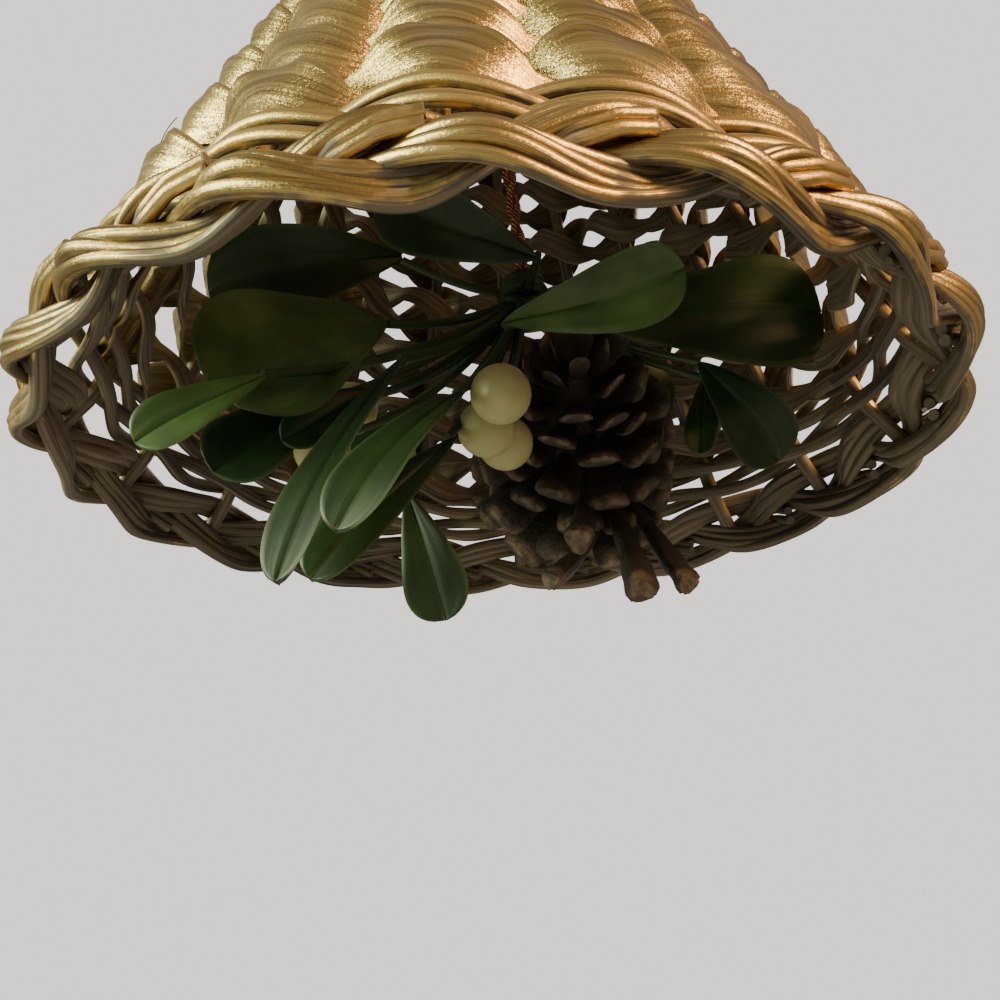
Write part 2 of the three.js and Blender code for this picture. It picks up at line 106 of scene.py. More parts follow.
for lamp_name, (place, size, power, colour) in LAMPS.items():
    lamp = bpy.data.objects.new(lamp_name, bpy.data.lights.new(lamp_name, "AREA"))
    lamp.data.size = size
    lamp.data.energy = power
    lamp.data.color = colour
    lamp.location = place
    lamp.rotation_euler = (LAMP_AIM - lamp.location).to_track_quat("-Z", "Y").to_euler()
    bpy.context.scene.collection.objects.link(lamp)

# Upright stakes
# Eighteen flat split canes that the bell is woven on. They stand in the border, flare a little
# into it, lean in with the wall and gather under the crown. Inside they were hardly sprayed.
WALL_FOOT = np.array([77.9, 6.8])
WALL_SHOULDER = np.array([29.0, 121.0])
FLANK_HOLLOW = 1.8
DOME_RADIUS = 22.0
STAKES = 18
WEAVE_TURN = math.radians(6)
STAKE_WIDTH = 3.2
STAKE_TOP_WIDTH = 2.2
STAKE_THICKNESS = 2.2
STAKE_FOOT = -3.0
STAKE_FLARE = 1.8
STAKE_FLARE_END = 8
STAKE_RIDGE = 0.1
STAKE_HEAD_RADIUS = 8.5
BARE_DARK = (0.006, 0.005, 0.004, 1)
BARE_LIGHT = (0.22, 0.165, 0.11, 1)
GOLD_DARK = (0.25, 0.165, 0.06, 1)
GOLD_LIGHT = (0.8, 0.57, 0.22, 1)

share = np.linspace(0, 1, 400)[:, None]
flank_control = (WALL_FOOT + WALL_SHOULDER) / 2 - (2 * FLANK_HOLLOW, 0)
flank = ((1 - share) ** 2 * WALL_FOOT + 2 * share * (1 - share) * flank_control
         + share ** 2 * WALL_SHOULDER)
shoulder_run = WALL_SHOULDER - flank_control
shoulder_lean = math.atan2(-shoulder_run[0], shoulder_run[1])
dome_centre = WALL_SHOULDER - DOME_RADIUS * np.array(
    [math.cos(shoulder_lean), math.sin(shoulder_lean)])
dome_turn = shoulder_lean + share[1:] * (math.pi / 2 - shoulder_lean)
dome = dome_centre + DOME_RADIUS * np.hstack([np.cos(dome_turn), np.sin(dome_turn)])
wall_line = np.vstack([flank, dome])
wall_steps = np.linalg.norm(np.diff(wall_line, axis=0), axis=1)
wall_length = np.concatenate([[0], np.cumsum(wall_steps)])
wall_rise = np.gradient(wall_line, wall_length, axis=0)
FLANK_LENGTH = wall_length[len(flank) - 1]


def wall_radius(distance):
    """How far from the axis the middle of the wall is, at a distance up it from the border."""
    return np.interp(distance, wall_length, wall_line[:, 0])


def wall_place(distance, turn, out):
    """Points at a distance up the wall, a turn round the axis and a distance out from the wall's
    middle line, measured square to it. Below its foot the wall runs straight on down."""
    inside = np.clip(distance, 0, wall_length[-1])
    rise_r = np.interp(inside, wall_length, wall_rise[:, 0])
    rise_z = np.interp(inside, wall_length, wall_rise[:, 1])
    radius = wall_radius(inside) + rise_r * (distance - inside) + rise_z * out
    height = (np.interp(inside, wall_length, wall_line[:, 1])
              + rise_z * (distance - inside) - rise_r * out)
    return np.stack(np.broadcast_arrays(
        radius * np.cos(turn), radius * np.sin(turn), height), axis=-1)


def surface(name, runs, closed=False):
    """One mesh from several runs. A run is an array of rings of points, rings[i, j], and how
    much paint each point took, lowered in places as painted shade. Neighbours are joined by
    four-cornered faces, and an open run is closed by a face over each end. The map holds
    millimetres along and round the run."""
    places, faces, spots, paints = [], [], [], []
    first = 0
    for rings, paint in runs:
        count, sides = rings.shape[:2]
        index = first + np.arange(count * sides).reshape(count, sides)
        ahead = np.linalg.norm(np.roll(rings, -1, axis=0) - rings, axis=2).mean(axis=1)
        beside = np.linalg.norm(np.roll(rings, -1, axis=1) - rings, axis=2).mean(axis=0)
        length = np.concatenate([[0], np.cumsum(ahead)])
        girth = np.concatenate([[0], np.cumsum(beside)])
        i, j = np.meshgrid(np.arange(count if closed else count - 1), np.arange(sides),
                           indexing="ij")
        corner = [(i, j), (i + 1, j), (i + 1, j + 1), (i, j + 1)]
        quads = np.stack([index[a % count, b % sides] for a, b in corner], axis=-1)
        marks = np.stack([np.stack([length[a], girth[b]], axis=-1) for a, b in corner], axis=-2)
        quads, marks = quads.reshape(-1, 4), marks.reshape(-1, 4, 2)
        flat = rings.reshape(-1, 3)
        a, b, c, d = (flat[quads[:, k] - first] for k in range(4))
        volume = np.einsum("ij,ij->", a, np.cross(b, c)) + np.einsum(
            "ij,ij->", a, np.cross(c, d))
        ends = [] if closed else [(index[0], 0), (index[-1][::-1], count - 1)]
        if volume < 0:
            quads, marks = quads[:, ::-1], marks[:, ::-1]
            ends = [(end[::-1], place) for end, place in ends]
        faces += quads.tolist()
        spots.append(marks.reshape(-1, 2))
        for end, place in ends:
            faces.append(end.tolist())
            spots.append(np.stack([np.full(sides, length[place]),
                                   girth[(end - first) % sides]], axis=-1))
        places.append(flat)
        paints.append(np.broadcast_to(paint, (count, sides)).ravel())
        first += count * sides
    mesh = bpy.data.meshes.new(name)
    placed = (np.vstack(places) - (0, 0, HOOK_HEIGHT)) * 0.001
    mesh.from_pydata(placed.tolist(), [], faces)
    mesh.uv_layers.new(name="run").data.foreach_set("uv", np.vstack(spots).ravel())
    mesh.attributes.new("paint", "FLOAT", "POINT").data.foreach_set(
        "value", np.concatenate(paints).astype(np.float32))
    mesh.polygons.foreach_set("use_smooth", [True] * len(mesh.polygons))
    mesh.set_sharp_from_angle(angle=math.radians(50))
    mesh.update()
    piece = bpy.data.objects.new(name, mesh)
    bpy.context.scene.collection.objects.link(piece)
    return piece


def finish_piece(piece, material, slot, *nodes):
    """Gives a piece its material, lets it ride on the bell and stand for its solids."""
    piece.data.materials.append(material)
    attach(piece, "root")
    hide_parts(*nodes)


def drift(rng, turn, waves, amount):
    """A smooth random wander round a closed run: waves of random phase added together."""
    phases = rng.uniform(0, 2 * math.pi, len(waves))
    total = sum(np.sin(wave * turn + phase) for wave, phase in zip(waves, phases))
    return amount * total / math.sqrt(len(waves))


def flat_section(sides, squareness):
    """Corners of a flat cane's section, as shares of its half width and half thickness: a
    circle drawn out towards a rectangle, each share being the root of the circle's."""
    turn = 2 * math.pi * (np.arange(sides) + 0.5) / sides
    edge, face = np.cos(turn), np.sin(turn)
    return (np.sign(edge) * np.abs(edge) ** squareness,
            np.sign(face) * np.abs(face) ** squareness)


class Nodes:
    """A short way to lay out the nodes of one material."""

    def __init__(self, name):
        self.material = bpy.data.materials.new(name)
        self.material.use_nodes = True
        self.tree = self.material.node_tree
        self.shader = self.tree.nodes["Principled BSDF"]

    def add(self, kind, inputs=(), **settings):
        node = self.tree.nodes.new(kind)
        for key, value in settings.items():
            setattr(node, key, value)
        for key, value in dict(inputs).items():
            self.set(node, key, value)
        return node

    def set(self, node, key, value):
        if isinstance(value, bpy.types.NodeSocket):
            self.tree.links.new(value, node.inputs[key])
        else:
            node.inputs[key].default_value = value

    def shade(self, **values):
        for key, value in values.items():
            self.set(self.shader, key.replace("_", " "), value)

    def math(self, operation, a, b=0.0, c=0.0, clamp=False):
        return self.add("ShaderNodeMath", {0: a, 1: b, 2: c}, operation=operation,
                        use_clamp=clamp).outputs[0]

    def mix(self, factor, a, b):
        node = self.add("ShaderNodeMix", {0: factor, 6: a, 7: b}, data_type="RGBA")
        return node.outputs[2]

    def blend(self, factor, low, high):
        return self.add("ShaderNodeMapRange", {0: factor, 3: low, 4: high}).outputs[0]

    def run_map(self, along, across):
        """The piece's own map, in millimetres, scaled along and across the run."""
        uv = self.add("ShaderNodeUVMap", uv_map="run").outputs[0]
        return self.add("ShaderNodeMapping", {0: uv, 3: (along, across, 1)}).outputs[0]

    def place(self):
        return self.add("ShaderNodeTexCoord").outputs["Object"]

    def noise(self, vector, scale, detail=2.0, roughness=0.5):
        return self.add("ShaderNodeTexNoise", {
            "Vector": vector, "Scale": scale, "Detail": detail, "Roughness": roughness,
        }).outputs[0]


def cane_paint(name, gold_dark, gold_light, bare_dark, bare_light, cover_bias, gloss, spangle):
    """Cane sprayed with metallic gold: fine lengthwise grain, gold where the spray reached
    and brown cane elsewhere, and flakes in the paint that each catch the light their own way.
    The brown also stands in as painted shade where a piece lowers its paint value for it."""
    n = Nodes(name)
    grain = n.noise(n.run_map(0.035, 2.1), 1.0, 4.0, 0.62)
    fibre = n.noise(n.run_map(0.012, 0.62), 1.0, 2.0, 0.5)
    patch = n.noise(n.place(), 170.0, 3.0, 0.6)
    # The paint value: how much gold spray a point took, lowered along the strip edges as painted
    # shade.
    spray_and_shade = n.add("ShaderNodeAttribute", attribute_name="paint").outputs["Fac"]
    streaks = n.math("MULTIPLY_ADD", grain, 0.9, -0.45)
    patches = n.math("MULTIPLY_ADD", patch, 1.1, -0.55)
    cover = n.math("ADD", n.math("ADD", spray_and_shade, cover_bias), n.math("ADD", streaks, patches))
    cover = n.add("ShaderNodeMapRange", {0: cover, 1: 0.3, 2: 0.62}, clamp=True,
                  interpolation_type="SMOOTHSTEP").outputs[0]
    shade = n.math("ADD", n.math("MULTIPLY", grain, 0.6), n.math("MULTIPLY", fibre, 0.5))
    shade = n.add("ShaderNodeMapRange", {0: shade, 1: 0.4, 2: 0.72}, clamp=True).outputs[0]
    colour = n.mix(cover, n.mix(shade, bare_dark, bare_light),
                   n.mix(shade, gold_dark, gold_light))
    flake = n.add("ShaderNodeTexVoronoi", {"Vector": n.place(), "Scale": 6500.0}).outputs[1]
    tilt = n.add("ShaderNodeVectorMath", {0: flake, 1: (0.5, 0.5, 0.5)},
                 operation="SUBTRACT").outputs[0]
    tilt = n.add("ShaderNodeVectorMath", {0: tilt, 3: n.math("MULTIPLY", cover, spangle)},
                 operation="SCALE").outputs[0]
    height = n.math("ADD", n.math("MULTIPLY", grain, 0.7), fibre)
    bump = n.add("ShaderNodeBump", {"Strength": 0.5, "Distance": 0.0002, "Height": height})
    normal = n.add("ShaderNodeVectorMath", {0: bump.outputs[0], 1: tilt}).outputs[0]
    normal = n.add("ShaderNodeVectorMath", {0: normal}, operation="NORMALIZE").outputs[0]
    n.shade(Base_Color=colour, Metallic=n.math("MULTIPLY", cover, 0.92),
            Roughness=n.blend(cover, 0.62, gloss), Normal=normal)
    return n.material


bare_cane = cane_paint("bare_cane", GOLD_DARK, GOLD_LIGHT, BARE_DARK, BARE_LIGHT,
                       0.0, 0.42, 0.2)

stake_edge, stake_face = flat_section(12, 0.55)
head_lean = math.acos((STAKE_HEAD_RADIUS - dome_centre[0]) / DOME_RADIUS)
STAKE_HEAD = FLANK_LENGTH + (head_lean - shoulder_lean) * DOME_RADIUS
for k in range(STAKES):
    rng = np.random.default_rng(100 + k)
    up_wall = np.linspace(STAKE_FOOT, STAKE_HEAD, 60)[:, None]
    rise = (up_wall - STAKE_FOOT) / (STAKE_HEAD - STAKE_FOOT)
    half_width = (STAKE_WIDTH + (STAKE_TOP_WIDTH - STAKE_WIDTH) * rise) / 2
    half_width = half_width * (1 + drift(rng, rise, (9, 17, 31), 0.06))
    aside = stake_edge * half_width + drift(rng, rise, (7, 12), 0.25)
    ridge = STAKE_RIDGE * np.cos(4 * math.pi * stake_edge) * (stake_face > 0)
    flare = STAKE_FLARE * np.clip(1 - up_wall / STAKE_FLARE_END, 0, 1)
    out = stake_face * (STAKE_THICKNESS / 2 + ridge) + flare
    centre_turn = WEAVE_TURN + 2 * math.pi * k / STAKES
    rings = wall_place(up_wall + 0 * aside, centre_turn + aside / wall_radius(up_wall), out)
    spray_and_shade = 0.12 + 0.42 * (stake_face > 0)
    stake = surface(f"cane_stake_{k + 1}", [(rings, spray_and_shade)])
    finish_piece(stake, bare_cane, "bare_cane", f"stake_{k + 1}")

# Fine twined rows
# Two rows of two slender canes each, twined close above the border to lock the stakes.
CLEARANCE = 0.3
BORDER_HEIGHT = 13.6
FINE_ROWS = 2
FINE_PITCH = 5.6
FINE_WIDTH = 2.8
FINE_THICKNESS = 2.2
FINE_ROOM = 2.6
FINE_DEPTH = 2.5
FINE_SWING = 1.55
FINE_FIRST = BORDER_HEIGHT / 2 + CLEARANCE + FINE_ROOM + CLEARANCE / 2

fine_edge, fine_face = flat_section(12, 0.8)
turn = np.linspace(0, 2 * math.pi, STAKES * 16, endpoint=False)[:, None]
for row in range(FINE_ROWS):
    for side in range(2):
        rng = np.random.default_rng(200 + 2 * row + side)
        distance = FINE_FIRST + row * FINE_PITCH
        phase = STAKES / 2 * turn + math.pi * side
        spacing = wall_radius(distance) * math.pi / STAKES
        offset = FINE_DEPTH / (1 - STAKE_WIDTH / 2 / spacing)
        half = FINE_WIDTH / 2 * (1 + drift(rng, turn, (11, 23, 37), 0.07))
        along = (-FINE_SWING * np.sin(phase) + fine_edge * half
                 + drift(rng, turn, (3, 7, 13), 0.25))
        out = offset * np.cos(phase) + fine_face * FINE_THICKNESS / 2
        rings = wall_place(distance + along, WEAVE_TURN + turn, out)
        spray_and_shade = 0.3 + 0.35 * fine_face + 0.2 * np.cos(phase)
        cane = surface(f"fine_cane_{row + 1}_{'ab'[side]}", [(rings, spray_and_shade)], closed=True)
        finish_piece(cane, bare_cane, "bare_cane", f"fine_row_{row + 1}_cane_{'ab'[side]}")

# Wide twined courses
# Eight courses, each of two wide flat strips of soft split cane. A strip lies broad outside one
# stake and inside the next. Where its partner crosses it, both are drawn in and lean alike, so
# that the one going in laps over the one coming out. The lowest course is wider, down to the rows.
COURSES = 8
COURSE_PITCH = 13.6
COURSE_ROOM = 12.8
STRIP_WIDTH = 14.4
STRIP_EXTRA = 1.8
STRIP_INNER_WIDTH = 7.8
STRIP_PINCH = 4.8
STRIP_THICKNESS = 1.1
STRIP_RIDGE = 0.16
STRIP_DEPTH = 2.25 + 0.12 * STAKE_WIDTH
STRIP_DROP = 3.5
STRIP_LEAN = math.radians(8)
STRIP_ROLL = math.radians(36)
STRIP_CROWN = 1.3
COURSE_FIRST = FINE_FIRST + FINE_PITCH + FINE_ROOM / 2 + CLEARANCE * 1.5 + COURSE_ROOM / 2

gold_cane = cane_paint("gold_cane", GOLD_DARK, GOLD_LIGHT, BARE_DARK, BARE_LIGHT,
                       0.14, 0.3, 0.3)

strip_edge, strip_face = flat_section(34, 0.5)
for course in range(COURSES):
    distance = COURSE_FIRST + course * COURSE_PITCH
    spacing = wall_radius(distance) * math.pi / STAKES
    extra = STRIP_EXTRA * (course == 0)
    for side in range(2):
        rng = np.random.default_rng(300 + 2 * course + side)
        phase = STAKES / 2 * turn + math.pi * side
        lie, cross = np.cos(phase), np.sin(phase)
        offset = STRIP_DEPTH / (1 - STAKE_WIDTH / 2 / spacing)
        middle = offset * lie * (1.3 - 0.3 * lie ** 2)
        broad = np.abs(lie)
        widest = np.where(lie > 0, STRIP_WIDTH + extra, STRIP_INNER_WIDTH)
        width = STRIP_PINCH + (widest - STRIP_PINCH) * broad ** np.where(lie > 0, 0.8, 1.0)
        width = width * (1 + drift(rng, turn, (9, 14, 23, 31), 0.08))
        roll = STRIP_LEAN + STRIP_ROLL * cross ** 2
        crown = STRIP_CROWN * np.where(lie > 0, lie, 0.35 * lie)
        grooves = 5.5 * math.pi * strip_edge + drift(rng, turn, (3, 8, 13), 1.2)
        ridge = STRIP_RIDGE * np.cos(grooves)
        across = strip_edge * width / 2
        thick = strip_face * STRIP_THICKNESS / 2 + ridge * broad + crown * (1 - strip_edge ** 2)
        along = (-STRIP_DROP * cross + across * np.cos(roll) - thick * np.sin(roll)
                 + drift(rng, turn, (4, 9, 16), 0.45) - extra / 2)
        out = middle + across * np.sin(roll) + thick * np.cos(roll)
        rings = wall_place(distance + along, WEAVE_TURN + turn, out)
        # Gold thins to brown cane along both edges of a strip: partly cane the spray missed,
        # partly painted shade in the crevices between strips.
        spray_and_shade = 0.42 + 0.5 * strip_face + 0.16 * lie - 0.45 * np.abs(strip_edge) ** 6
        strip = surface(f"strip_{course + 1}_{'ab'[side]}", [(rings, spray_and_shade)], closed=True)
        finish_piece(strip, gold_cane, "gold_cane", f"course_{course + 1}_strip_{'ab'[side]}")

# Plaited border
# Three bundles of round canes plaited flat round the mouth, proud of the wall, more so behind.
# Each bundle swings from edge to edge, goes outside one neighbour and inside the other, and its
# canes lie close with the middle one raised.
PLAIT_REPEATS = 6
PLAIT_TURN = math.radians(-3)
PLAIT_PROUD = 2.0
PLAIT_SHIFT = 1.5
PLAIT_DEPTH = 2.6
PLAIT_SWING = 4.8
PLAIT_TILT = 0.55
PLAIT_SPACING = 0.62
PLAIT_LIFT = 0.55
BUNDLES = {1: (4, 2.25), 2: (3, 2.8), 3: (3, 2.65)}
RIM_DARK = (0.15, 0.095, 0.035, 1)
RIM_LIGHT = (0.66, 0.47, 0.19, 1)

border_cane = cane_paint("border_cane", RIM_DARK, RIM_LIGHT, BARE_DARK, BARE_LIGHT,
                         -0.02, 0.34, 0.18)

cane_turn = 2 * math.pi * np.arange(10) / 10
turn = np.linspace(0, 2 * math.pi, 360, endpoint=False)[:, None]
for bundle, (canes, thickness) in BUNDLES.items():
    runs = []
    for cane in range(canes):
        rng = np.random.default_rng(400 + 10 * bundle + cane)
        phase = PLAIT_REPEATS * turn + math.pi / 6 + (bundle - 1) * 2 * math.pi / 3
        phase = phase + drift(rng, turn, (5, 11), 0.05)
        tilt = PLAIT_TILT * np.sin(phase)
        aside = (cane - (canes - 1) / 2) * thickness * PLAIT_SPACING
        aside = aside * (1 + drift(rng, turn, (4, 9, 15), 0.07))
        lift = PLAIT_LIFT * (1 - (2 * cane / (canes - 1) - 1) ** 2)
        radius = thickness / 2 * (0.95 + 0.1 * np.abs(np.sin(2 * phase)))
        radius = radius * (1 + drift(rng, turn, (13, 29), 0.05))
        centre_along = (PLAIT_SWING * np.sin(phase) + aside * np.cos(tilt)
                        + drift(rng, turn, (7, 15, 22), 0.3))
        proud = PLAIT_PROUD + PLAIT_SHIFT * np.sin(PLAIT_TURN + turn)
        centre_out = (proud + PLAIT_DEPTH * np.sin(2 * phase) - aside * np.sin(tilt)
                      + lift * np.sin(2 * phase) + drift(rng, turn, (6, 17, 29), 0.3))
        along = centre_along + radius * np.sin(cane_turn)
        out = centre_out + radius * np.cos(cane_turn)
        spray_and_shade = 0.4 + 0.36 * np.cos(cane_turn) + 0.2 * np.sin(2 * phase)
        runs.append((wall_place(along, PLAIT_TURN + turn, out), spray_and_shade))
    border = surface(f"border_bundle_of_canes_{bundle}", runs, closed=True)
    finish_piece(border, border_cane, "gold_cane", f"border_bundle_{bundle}")

# Cut ends
# Each stake ends in two canes that come out through an eye of the plait, run on along it and are
# cut off in the next eye. The route gives degrees round the bell, then millimetres up and out.
END_CANE = 2.0
END_ROUTE = [(-3, -2.2, -1.6), (0.5, -1, 1.6), (4.5, 0.2, 3.3), (8.4, 1.3, 3.4)]


def tube(path, radius, sides=10, helix=0.0, twists=0.0, start=0.0):
    """Rings of a round tube along a path of points. The tube's middle may wind round the path:
    helix is how far off it runs, twists how often it goes round, start its first angle. The
    section stays square to the path, on axes got from the run and one fixed direction."""
    run = np.gradient(path, axis=0)
    run /= np.linalg.norm(run, axis=1, keepdims=True)
    fixed = np.array([0.0, 1.0, 0.0]) if abs(run[:, 1]).max() < 0.9 else np.array([0.0, 0, 1])
    side = np.cross(run, fixed)
    side /= np.linalg.norm(side, axis=1, keepdims=True)
    other = np.cross(run, side)
    wind = start + 2 * math.pi * twists * np.linspace(0, 1, len(path))[:, None]
    middle = path + helix * (np.cos(wind) * side + np.sin(wind) * other)
    round_turn = 2 * math.pi * np.arange(sides) / sides
    ring = (np.cos(round_turn)[None, :, None] * side[:, None]
            + np.sin(round_turn)[None, :, None] * other[:, None])
    width = np.broadcast_to(np.asarray(radius, float), (len(path),))
    return middle[:, None] + width[:, None, None] * ring


runs = []
for k in range(STAKES):
    rng = np.random.default_rng(450 + k)
    t = np.linspace(0, 1, 20) * rng.uniform(0.82, 1.06)
    degrees, along, out = (np.interp(t, np.linspace(0, 1, 4), way) for way in zip(*END_ROUTE))
    middle_turn = PLAIT_TURN + 2 * math.pi * k / STAKES + np.radians(degrees)
    for side in (-1, 1):
        beside = side * END_CANE * 0.42 + rng.uniform(-0.3, 0.3)
        proud = PLAIT_PROUD + PLAIT_SHIFT * np.sin(middle_turn)
        path = wall_place(along + beside, middle_turn, proud + out + 0.4 * side)
        painted = np.clip(2 * t[:, None] - 0.3, 0, 0.62) - 0.45 * (t[:, None] > t[-2])
        runs.append((tube(path, END_CANE / 2, 10), painted))
cut_ends = surface("cut_stake_ends", runs)
finish_piece(cut_ends, border_cane, "gold_cane")

# Crown
# Six close rows of two thin canes twisted together lie on the gathered stakes, and one thin cane
# coiled flat closes the middle.
CROWN_EDGE = COURSE_FIRST + (COURSES - 1) * COURSE_PITCH + COURSE_ROOM / 2 + CLEARANCE
CROWN_ROWS = 6
CROWN_CANE = 2.3
CROWN_WIND = 1.05
CROWN_LAY = 1.55
CROWN_LIFT = 3.7
CROWN_TOP = 140.854
BUTTON_START = 1.2
BUTTON_SINK = 1.6
BUTTON_TURNS = 3.6
BUTTON_PITCH = 2.3
BUTTON_DOME = 0.035

runs = []
turn = np.linspace(0, 2 * math.pi, 240, endpoint=False)[:, None]
for row in range(CROWN_ROWS):
    distance = CROWN_EDGE + (STAKE_HEAD - CROWN_EDGE) * (row + 0.4) / CROWN_ROWS
    twists = round(wall_radius(distance) / CROWN_LAY)
    for side in range(2):
        twist = twists * turn + math.pi * side
        along = CROWN_WIND * np.cos(twist) + CROWN_CANE / 2 * np.sin(cane_turn)
        out = CROWN_LIFT + CROWN_WIND * np.sin(twist) + CROWN_CANE / 2 * np.cos(cane_turn)
        spray_and_shade = 0.45 + 0.35 * np.cos(cane_turn) + 0.15 * np.sin(twist)
        runs.append((wall_place(distance + along, turn, out), spray_and_shade))
crown = surface("crown_rows", runs, closed=True)
coil = np.linspace(0, 2 * math.pi * BUTTON_TURNS, 200)[:, None]
coil_radius = BUTTON_START + BUTTON_PITCH * coil / (2 * math.pi)
coil_height = CROWN_TOP - BUTTON_SINK - BUTTON_DOME * coil_radius ** 2
radial = coil_radius + CROWN_CANE / 2 * np.cos(cane_turn)
rings = np.stack([radial * np.cos(coil), radial * np.sin(coil),
                  coil_height + CROWN_CANE / 2 * np.sin(cane_turn)], axis=-1)
button = surface("crown_button", [(rings, 0.45 + 0.35 * np.sin(cane_turn))])
finish_piece(crown, border_cane, "gold_cane", "crown_coil")
finish_piece(button, border_cane, "gold_cane")

# Hanging loop
# Two thin canes twisted together into an arch that stands on the crown.
LOOP_HALF = 10.8
LOOP_RISE = 21.8
LOOP_CANE = 2.0
LOOP_WIND = 0.85
LOOP_TWISTS = 7
LOOP_SINK = 1.2

arch = np.linspace(0, math.pi, 120)
arch_path = np.stack([LOOP_HALF * np.cos(arch), 0 * arch,
                      CROWN_TOP - LOOP_SINK + LOOP_RISE * np.sin(arch) ** 0.8], axis=-1)
loop = surface("twisted_loop", [
    (tube(arch_path, LOOP_CANE / 2, 10, LOOP_WIND, LOOP_TWISTS, start), 0.7)
    for start in (0, math.pi)])
finish_piece(loop, border_cane, "gold_cane", "hanging_loop")

# Cord
# A thin red cord with a gold thread, doubled and twisted. It comes down through the crown and is
# knotted to the stalks of the spray.
SPRAY_REACH = 61.9
CORD_TOP = np.array([0, 0, 137.154])
CORD_THICKNESS = 3.0
STRAND_RADIUS = 0.78
STRAND_WIND = CORD_THICKNESS / 2 - STRAND_RADIUS
CORD_TWISTS = 6
CORD_RED = (0.2, 0.018, 0.008, 1)
CORD_GOLD = (0.8, 0.5, 0.16, 1)
HUB = np.array([0.11, 0, 0.6]) * SPRAY_REACH
KNOT_RISE = 6.55
KNOT = HUB + (0, 0, KNOT_RISE)

n = Nodes("red_gold_cord")
twist_map = n.run_map(0.9, 0.9)
lay = n.add("ShaderNodeTexWave", {"Vector": twist_map, "Scale": 0.7, "Distortion": 1.5},
            bands_direction="DIAGONAL").outputs[1]
thread = n.add("ShaderNodeMapRange", {0: lay, 1: 0.72, 2: 0.86}, clamp=True).outputs[0]
bump = n.add("ShaderNodeBump", {"Strength": 0.7, "Distance": 0.0003, "Height": lay})
n.shade(Base_Color=n.mix(thread, CORD_RED, CORD_GOLD), Roughness=0.38,
        Metallic=n.blend(thread, 0.25, 0.95), Normal=bump.outputs[0])
cord_path = CORD_TOP + np.linspace(0, 1, 90)[:, None] * (KNOT - CORD_TOP)
cord = surface("doubled_cord", [
    (tube(cord_path, STRAND_RADIUS, 8, STRAND_WIND, CORD_TWISTS, start), 0.5)
    for start in (0, math.pi)])
finish_piece(cord, n.material, "cord_red", "hanging_cord")

# Mistletoe
# Plastic leaves on wired stalks that meet in a bound knot. Each blade widens towards a blunt tip,
# is dished along its midrib and has a few fine veins. Places are shares of the spray's reach.
LEAVES = {
    "broad_left": ((-0.29, -0.32, 0.32), (-0.71, -0.55, 0.02), 0.41, (0.1, -1, 0.15), 0.06),
    "dark_upper_left": ((-0.27, -0.1, 0.69), (-0.85, -0.19, 0.55), 0.28, (0, -0.9, -0.5), 0.1),
    "top_centre": ((0.15, -0.26, 0.58), (-0.33, -0.32, 0.73), 0.22, (0.1, -0.7, -0.7), 0.08),
    "small_left": ((-0.55, -0.65, -0.01), (-0.81, -0.71, -0.22), 0.13, (0, -1, 0), 0.05),
    "lower_left": ((-0.51, -0.26, 0.11), (-0.73, -0.39, -0.15), 0.2, (0, -1, -0.2), 0.08),
    "pale_left": ((-0.3, -0.27, 0.13), (-0.56, -0.39, -0.06), 0.12, (0.3, -1, 0), 0.05),
    "long_front": ((-0.24, -0.47, 0.12), (-0.48, -0.65, -0.54), 0.14, (-0.5, -1, 0.1), 0.05),
    "bright_front": ((-0.09, -0.55, -0.03), (-0.34, -0.71, -0.45), 0.15, (-0.2, -1, 0.35), 0.1),
    "under_front": ((-0.12, -0.4, -0.08), (-0.43, -0.52, -0.5), 0.15, (-0.2, -1, 0.1), 0.05),
    "down_front": ((-0.22, -0.39, -0.23), (-0.14, -0.36, -0.56), 0.155, (-0.35, -1, 0.1), 0.04),
    "right_near": ((0.04, -0.47, 0.21), (0.5, -0.61, 0.28), 0.19, (0, -0.8, -0.6), 0.05),
    "large_right": ((0.29, -0.23, 0.35), (0.98, -0.19, 0.39), 0.33, (0, -1, -0.1), 0.05),
    "right_lower": ((0.65, 0, 0.34), (0.87, 0.1, 0.03), 0.21, (-0.2, -1, 0), 0.08),
    "small_right": ((0.66, 0.06, 0.32), (0.63, 0.04, 0.04), 0.1, (0, -1, 0), 0.05),
    "back_left": ((-0.27, 0.34, 0.42), (-0.61, 0.72, 0.2), 0.28, (0.4, 0.6, 0.6), 0.08),
    "back_right": ((0.32, 0.38, 0.64), (0.64, 0.68, 0.48), 0.26, (-0.3, 0.6, 0.7), 0.08),
}
LEAF_THICKNESS = 0.9
STALK_THICKNESS = 1.9
STALK_END_THICKNESS = 1.5
STALK_SAG = 0.06
GROOVE_DEPTH = 0.35
LEAF_DARK = (0.004, 0.013, 0.004, 1)
LEAF_LIGHT = (0.014, 0.036, 0.008, 1)
LEAF_EDGE = (0.05, 0.085, 0.03, 1)
OLIVE_DARK = (0.014, 0.03, 0.004, 1)
OLIVE_LIGHT = (0.055, 0.105, 0.025, 1)
OLIVE_LEAVES = ("broad_left", "right_near", "small_left")


